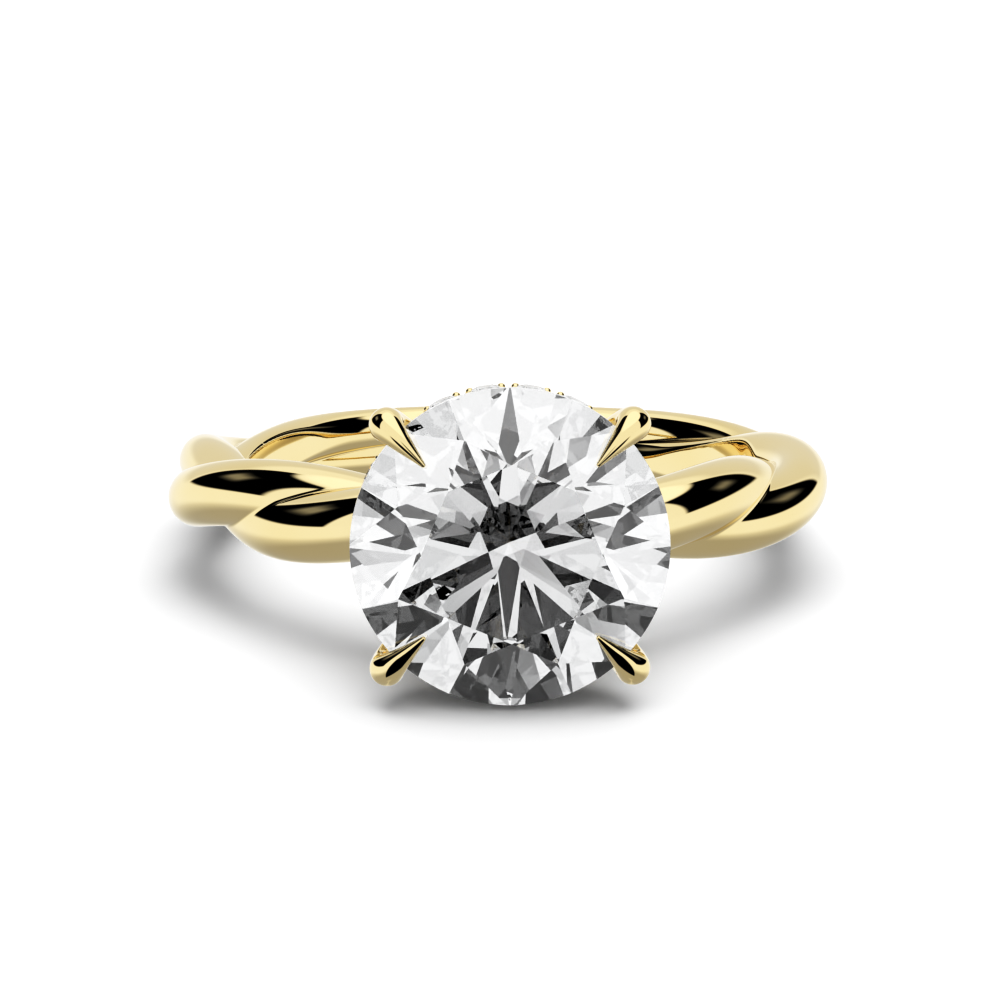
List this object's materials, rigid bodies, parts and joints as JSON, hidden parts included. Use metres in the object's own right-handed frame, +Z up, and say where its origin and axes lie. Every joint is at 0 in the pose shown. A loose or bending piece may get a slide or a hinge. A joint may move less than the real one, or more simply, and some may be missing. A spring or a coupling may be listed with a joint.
{
  "type": "twisted shank ring",
  "caption": "Polished yellow gold ring with a two-strand twisted shank and a round brilliant stone in pointed claws over a hidden halo, lying on its side.",
  "frame": {"origin": "centre of the footprint on the surface that the ring lies on", "axes": "-Y towards the head and its big stone, +Y towards the back of the band, +Z up from the surface, close to the axis of the finger bore"},
  "size_m": [0.0218, 0.0264, 0.0101],
  "materials": {
    "gold": "mirror-polished 14k yellow gold",
    "center_diamond": "clear, brilliant cut, polished facets",
    "halo_diamond": "clear, brilliant cut, polished facets"
  },
  "bodies": {
    "root": {"ring_mount": "gold", "center_stone": "center_diamond", "halo_stone_01": "halo_diamond", "halo_stone_02": "halo_diamond", "halo_stone_03": "halo_diamond", "halo_stone_04": "halo_diamond", "halo_stone_05": "halo_diamond", "halo_stone_06": "halo_diamond", "halo_stone_07": "halo_diamond", "halo_stone_08": "halo_diamond", "halo_stone_09": "halo_diamond", "halo_stone_10": "halo_diamond", "halo_stone_11": "halo_diamond", "halo_stone_12": "halo_diamond", "halo_stone_13": "halo_diamond", "halo_stone_14": "halo_diamond", "halo_stone_15": "halo_diamond", "halo_stone_16": "halo_diamond"}
  },
  "joints": []
}
